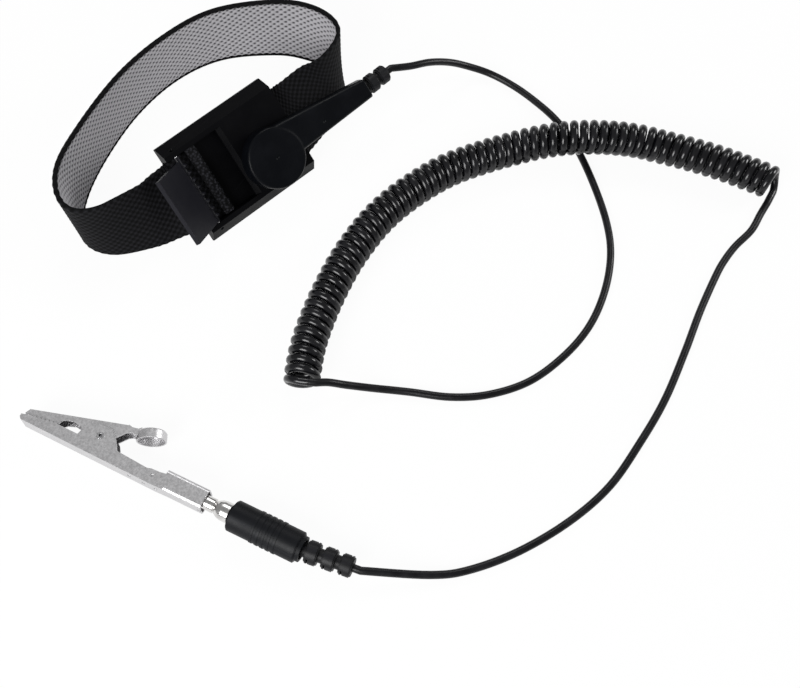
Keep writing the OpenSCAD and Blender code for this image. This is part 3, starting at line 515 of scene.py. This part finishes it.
def make_cords():
    """The straight leads, the curly part between them, and what rides on which body."""
    black = FINISH["cord"].material
    snap_line = lead_line(SNAP_EXIT, SNAP_WAY, SNAP_LEAD, COIL_START, COIL_IN_WAY)
    run = run_length(snap_line)
    middle = int(np.searchsorted(run, 0.5 * run[-1]))
    near = tube("cord_lead_at_snap", snap_line[:middle + 1], CORD_D / 2, LEAD_SIDES, black)
    far = tube("cord_lead_at_coil", snap_line[middle:], CORD_D / 2, LEAD_SIDES, black)
    curls = np.concatenate([[COIL_START], COIL_LINE, [COIL_END]])
    from_end = np.minimum(np.arange(len(curls)), np.arange(len(curls))[::-1])
    swell = np.clip(from_end / STEPS_PER_CURL, 0, 1)
    coil = tube("cord_curls", curls, (CORD_D + (WOUND_D - CORD_D) * swell) / 2, CURL_SIDES,
                FINISH["curls"].material)
    plug_line = lead_line(COIL_END, COIL_OUT_WAY, PLUG_LEAD, PLUG_EXIT, -PLUG_WAY)
    plug = tube("cord_lead_at_plug", plug_line, CORD_D / 2, LEAD_SIDES, black)
    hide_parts("cord_snap_lead")
    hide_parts("cord_snap_lead")
    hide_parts("cord_coil")
    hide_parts("cord_plug_lead")
    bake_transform(near)
    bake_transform(far)
    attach(coil, "wristband")
    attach(plug, "wristband")


make_cords()

# ---- Wristband ----
RIGHT_TURN = [[0.47, 0.136, 1.9, 35], [0.77, 0.21, 0.5, 22], [0.96, 0.335, 0.2, 4], [1, 0.45, 0.2, -7],
              [0.89, 0.6, 0.2, -12], [0.66, 0.755, 0.2, -10], [0.15, 0.94, 0.2, -5]]
LEFT_TURN = [[-0.31, 0.95, 0.2, -2], [0.35, 0.8, 0.2, -5], [0.79, 0.635, 0.2, -9],
             [0.99, 0.455, 0.2, -4], [0.87, 0.295, 0.2, 9], [0.5, 0.17, 0.7, 24], [0.23, 0.11, 1.7, 38]]
# Spacing of the knit's loops along the band and across it
LOOP_ALONG = 2.0
LOOP_ACROSS = 1.7
# The rolled rim along the outer knit's edges: its width, the ramp up to it, and the waist between bumps
RIM_W = 1.0
RIM_RAMP = 0.3
RIM_BUMP = 0.22
# Run over which a strip's edge rounds off, and its thickness at the very edge as a share
EDGE_RUN = 0.35
EDGE_SHARE = 0.45
# Distance between two rings of the knit's mesh, and its rows across the band
KNIT_STEP = 0.3
OUTER_ROWS = 80
LINING_ROWS = 72
# What the rim covers of the lining at each edge
RIM_COVER = 0.35
KNIT_LOW = PLATE_T + FLOOR_T + 2 * SEAT_GAP + LINING_T
BAND_FIXED_X = WINDOW_L + 2.6
# Run over which the band turns out of the buckle, and mesh steps over which its way is evened
TURNING_RUN = 9.0
EVEN_OVER = 9


def in_buckle(x):
    """The band's lower edge at x along the buckle, and its lean there."""
    p = placed(x, RAIL_W + SIDE_GAP, KNIT_LOW)
    return [p[0] + WRIST_CENTRE[0], p[1] + WRIST_CENTRE[1], p[2], 90 - math.degrees(TILT)]


def band_line(step_mm):
    """The lower edge of the band at even steps: places, lean in degrees, way, and length run so far."""
    right = [[BUCKLE_L + x * REACH_RIGHT, y * LOOP_DEPTH, z, lean] for x, y, z, lean in RIGHT_TURN]
    left = [[-x * REACH_LEFT, y * LOOP_DEPTH, z, lean] for x, y, z, lean in LEFT_TURN]
    far_side = [[0.7 * BUCKLE_L, LOOP_DEPTH, 0.2, -1]]
    turns = [in_buckle(BUCKLE_L)] + right + far_side + left + [in_buckle(0)]
    fine = np.concatenate([[in_buckle(BAND_FIXED_X)], spline(turns, 16), [in_buckle(HEM_X + HEM_W)]])
    run = run_length(fine[:, :3])
    count = int(round(run[-1] / step_mm))
    s = np.linspace(0, run[-1], count + 1)
    line = np.stack([np.interp(s, run, fine[:, k]) for k in range(4)], 1)
    start, end = run[1], run[-1] - run[-2]
    way = np.gradient(line[:, :2], axis=0)
    even = np.ones(EVEN_OVER) / EVEN_OVER
    margin = EVEN_OVER // 2
    way = unit(np.stack([np.convolve(np.pad(way[:, k], margin, "edge"), even, "valid") for k in range(2)], 1))
    turned = np.clip(np.minimum((s - start), (run[-1] - end - s)) / TURNING_RUN, 0, 1)[:, None]
    way = unit(arr([1, 0]) * (1 - turned) + way * turned)
    return line, way, s


def loop_height(s, v):
    """Height of the knit from 0 in the pits to 1 on the crowns: round loops in offset rows."""
    a = np.cos(2 * math.pi * s / LOOP_ALONG)
    b = np.cos(2 * math.pi * v / LOOP_ACROSS)
    return np.clip(0.5 + 0.5 * a * b, 0, 1) ** 0.7


def knit_strip(name, material, near, far, low, high, rows, face, depth, scallop, rim=0.0):
    """A closed strip along the band. face says which side carries the loops: 0 near, 1 far.
    Along both edges the far side can rise into a rolled rim with a bump for each loop."""
    line, way, s = band_line(KNIT_STEP)
    n = len(line)
    inward = np.stack([-way[:, 1], way[:, 0], np.zeros(n)], 1)
    lean = np.radians(line[:, 3])[:, None]
    up = np.array([[0, 0, 1.0]])
    across = inward * np.sin(lean) + up * np.cos(lean)
    inner = inward * np.cos(lean) - up * np.sin(lean)
    foot = line[:, :3] - arr([*WRIST_CENTRE, 0])
    v = np.linspace(0, 1, rows + 1)
    edge = scallop * (0.5 + 0.5 * np.cos(2 * math.pi * s / LOOP_ALONG))
    lows, highs = low + edge, high - edge
    grid_v = lows[:, None] + (highs - lows)[:, None] * v[None, :]
    loops = loop_height(s[:, None], grid_v)
    edge_run = np.minimum(grid_v - lows[:, None], highs[:, None] - grid_v)
    fade = np.clip(edge_run / EDGE_RUN, 0, 1)
    full = EDGE_SHARE + (1 - EDGE_SHARE) * np.sqrt(np.clip(1 - (1 - fade) ** 2, 0, 1))
    rolled = np.clip((RIM_W - edge_run) / RIM_RAMP, 0, 1) if rim else np.zeros_like(grid_v)
    waist = RIM_BUMP * rolled * (0.5 - 0.5 * np.cos(2 * math.pi * s / LOOP_ALONG))[:, None]
    near, far = near + waist, far + rim * rolled - waist
    middle = 0.5 * (near + far)
    near_side = near if face == 1 else near + depth * (1 - loops) * (1 - rolled)
    far_side = far if face == 0 else far - depth * (1 - loops) * (1 - rolled)
    near_side = middle + (near_side - middle) * full
    far_side = middle + (far_side - middle) * full

    def points(side_mm):
        return (foot[:, None, :] + side_mm[:, :, None] * inner[:, None, :]
                + grid_v[:, :, None] * across[:, None, :])

    cloud = np.concatenate([points(near_side).reshape(-1, 3), points(far_side).reshape(-1, 3)])
    m = rows + 1
    half = n * m
    i, j = np.meshgrid(np.arange(n - 1), np.arange(rows), indexing="ij")
    a = (i * m + j).ravel()
    near_faces = np.stack([a, a + 1, a + m + 1, a + m], 1)
    far_faces = near_faces[:, ::-1] + half
    k = np.arange(n - 1) * m
    low_faces = np.stack([k, k + m, k + m + half, k + half], 1)
    high_faces = np.stack([k + rows, k + rows + half, k + m + rows + half, k + m + rows], 1)
    j = np.arange(rows)
    start_faces = np.stack([j, j + half, j + 1 + half, j + 1], 1)
    last = (n - 1) * m
    end_faces = np.stack([last + j, last + j + 1, last + j + 1 + half, last + j + half], 1)
    faces = np.concatenate([near_faces, far_faces, low_faces, high_faces, start_faces, end_faces])
    piece = mesh_object(name, cloud, faces.tolist(), material)
    mesh = piece.data
    heights = np.concatenate([loops.ravel() if face != 1 else np.full(half, 0.5),
                              loops.ravel() if face != 0 else np.full(half, 0.5)])
    stored = mesh.attributes.new("loop_height", "FLOAT", "POINT")
    stored.data.foreach_set("value", heights.astype(np.float32))
    flat = np.stack([np.repeat(s, m), grid_v.ravel()], 1) * MM
    flat = np.concatenate([flat, flat])
    corner = np.zeros(len(mesh.loops), np.int32)
    mesh.loops.foreach_get("vertex_index", corner)
    mesh.uv_layers.new(name="along").data.foreach_set("uv", flat[corner].astype(np.float32).ravel())
    outward(piece)
    print(name, "faces", len(mesh.polygons), "length", round(float(s[-1]), 1))
    return piece


def make_band():
    """The outer knit with its rolled rims, and the lining between them."""
    outer = knit_strip("band_outer_knit", FINISH["knit"].material, -KNIT_T, 0, 0, BAND_W, OUTER_ROWS,
                       face=0, depth=0.22, scallop=0.22, rim=SEAT_GAP + LINING_T)
    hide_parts("band_outer")
    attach(outer, "wristband")
    lining = knit_strip("band_lining_knit", FINISH["lining"].material, SEAT_GAP, SEAT_GAP + LINING_T,
                        LINING_INSET + RIM_COVER, BAND_W - LINING_INSET - RIM_COVER, LINING_ROWS,
                        face=1, depth=0.42, scallop=0.3)
    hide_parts("band_lining")
    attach(lining, "wristband")


make_band()
dress("band_hem", "hem")


# ---- Rounded copies of moulded and stamped pieces ----
# Points nearer than this, in metres, are one
WELD = 2e-6
# Degrees: faces that differ less are one flat face, and edges that turn more are rounded
FLAT_UNDER = 0.6
EDGE_OVER = 30


def rounded(node, name, finish, width_mm, segments):
    """A copy of a CAD node with its edges rounded, in place of the sharp one."""
    mesh = frame["nodes"][node].data.copy()
    mesh.name = name
    work = bmesh.new()
    work.from_mesh(mesh)
    bmesh.ops.remove_doubles(work, verts=work.verts, dist=WELD)
    bmesh.ops.dissolve_limit(work, angle_limit=math.radians(FLAT_UNDER), verts=work.verts, edges=work.edges)
    work.to_mesh(mesh)
    work.free()
    piece = bpy.data.objects.new(name, mesh)
    SCENE.collection.objects.link(piece)
    mesh.materials.clear()
    mesh.materials.append(FINISH[finish].material)
    bevel = piece.modifiers.new("rounding", "BEVEL")
    bevel.width = width_mm * MM
    bevel.segments = segments
    bevel.limit_method = "ANGLE"
    bevel.angle_limit = math.radians(EDGE_OVER)
    bevel.use_clamp_overlap = True
    mesh.shade_smooth()
    even = piece.modifiers.new("even", "WEIGHTED_NORMAL")
    even.weight = 80
    bake_modifiers(piece)
    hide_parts(node)
    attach(piece, frame["nodes"][node]["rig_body"])
    print(name, "faces", len(piece.data.polygons))


rounded("buckle_frame", "buckle_shell", "buckle", 0.22, 3)
rounded("clamp_flap", "toothed_flap", "flap", 0.12, 2)
rounded("plug_grip", "ribbed_grip", "grip", 0.14, 3)
rounded("plug_strain_relief", "plug_relief_blocks", "relief", 0.1, 2)
rounded("snap_strain_relief", "snap_relief_blocks", "relief", 0.1, 2)
rounded("plug_ferrule", "domed_ferrule", "nickel", 0.2, 3)
rounded("lower_jaw", "lower_jaw_stamping", "clip", 0.08, 2)
rounded("upper_jaw", "upper_jaw_stamping", "clip", 0.08, 2)
rounded("jaw_rivet", "hollow_rivet", "steel", 0.06, 2)


def soft_moulding(node, name, finish, voxel_mm, rounds):
    """A moulded piece whose edges and inner corners all flow: remeshed finely and smoothed."""
    mesh = frame["nodes"][node].data.copy()
    piece = bpy.data.objects.new(name, mesh)
    SCENE.collection.objects.link(piece)
    mesh.materials.clear()
    mesh.materials.append(FINISH[finish].material)
    weld = piece.modifiers.new("weld", "WELD")
    weld.merge_threshold = WELD
    remesh = piece.modifiers.new("fine", "REMESH")
    remesh.mode = "VOXEL"
    remesh.voxel_size = voxel_mm * MM
    smooth = piece.modifiers.new("flow", "SMOOTH")
    smooth.factor = 0.5
    smooth.iterations = rounds
    bake_modifiers(piece)
    piece.data.shade_smooth()
    if not piece.data.materials:
        piece.data.materials.append(FINISH[finish].material)
    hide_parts(node)
    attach(piece, frame["nodes"][node]["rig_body"])
    print(name, "faces", len(piece.data.polygons))


soft_moulding("snap_cap", "cap_and_handle", "cap", 0.2, 6)


# ---- Studio ----
# Share of the floor that glows where it is looked at, and strength of the world's light
FLOOR_GLOW = 0.95
WORLD_LIGHT = 0.3


def make_studio():
    """A plain white floor, a pale world that looks white to the camera, and soft lamps."""
    bpy.ops.mesh.primitive_plane_add(size=3)
    floor = bpy.context.object
    floor.name = "floor"
    paper = bpy.data.materials.new("floor")
    paper.use_nodes = True
    tree = paper.node_tree
    tree.nodes.clear()
    out = tree.nodes.new("ShaderNodeOutputMaterial")
    mix = tree.nodes.new("ShaderNodeMixShader")
    diffuse = tree.nodes.new("ShaderNodeBsdfDiffuse")
    diffuse.inputs["Color"].default_value = (0.85, 0.85, 0.85, 1)
    glow = tree.nodes.new("ShaderNodeEmission")
    rays = tree.nodes.new("ShaderNodeLightPath")
    seen = tree.nodes.new("ShaderNodeMath")
    seen.operation = "MAXIMUM"
    also = tree.nodes.new("ShaderNodeMath")
    also.operation = "MAXIMUM"
    share = tree.nodes.new("ShaderNodeMath")
    share.operation = "MULTIPLY"
    share.inputs[1].default_value = FLOOR_GLOW
    link = tree.links.new
    link(rays.outputs["Is Camera Ray"], seen.inputs[0])
    link(rays.outputs["Is Glossy Ray"], seen.inputs[1])
    link(seen.outputs[0], also.inputs[0])
    link(rays.outputs["Is Transmission Ray"], also.inputs[1])
    link(also.outputs[0], share.inputs[0])
    glow.inputs["Strength"].default_value = 1.0
    link(share.outputs[0], mix.inputs["Fac"])
    link(diffuse.outputs[0], mix.inputs[1])
    link(glow.outputs[0], mix.inputs[2])
    link(mix.outputs[0], out.inputs["Surface"])
    floor.data.materials.append(paper)
    world = bpy.data.worlds.new("studio")
    SCENE.world = world
    world.use_nodes = True
    sky = world.node_tree
    sky.nodes["Background"].inputs["Color"].default_value = (1, 1, 1, 1)
    looked_at = sky.nodes.new("ShaderNodeLightPath")
    strength = sky.nodes.new("ShaderNodeMath")
    strength.operation = "MULTIPLY_ADD"
    strength.inputs[1].default_value = 1 - WORLD_LIGHT
    strength.inputs[2].default_value = WORLD_LIGHT
    sky.links.new(looked_at.outputs["Is Camera Ray"], strength.inputs[0])
    sky.links.new(strength.outputs[0], sky.nodes["Background"].inputs["Strength"])

    def lamp(name, place, aim, size, watts):
        data = bpy.data.lights.new(name, "AREA")
        data.shape = "RECTANGLE"
        data.size, data.size_y = size
        data.energy = watts
        made = bpy.data.objects.new(name, data)
        made.location = place
        made.rotation_euler = (Vector(aim) - Vector(place)).to_track_quat("-Z", "Y").to_euler()
        SCENE.collection.objects.link(made)

    lamp("key", (-0.5, -0.2, 0.35), (0, -0.06, 0), (0.34, 0.34), 4.0)
    lamp("back", (0.35, 0.35, 0.55), (0, -0.05, 0), (0.3, 0.2), 1.2)
    lamp("side", (0.62, -0.3, 0.3), (0, -0.05, 0), (0.25, 0.2), 2.0)


make_studio()
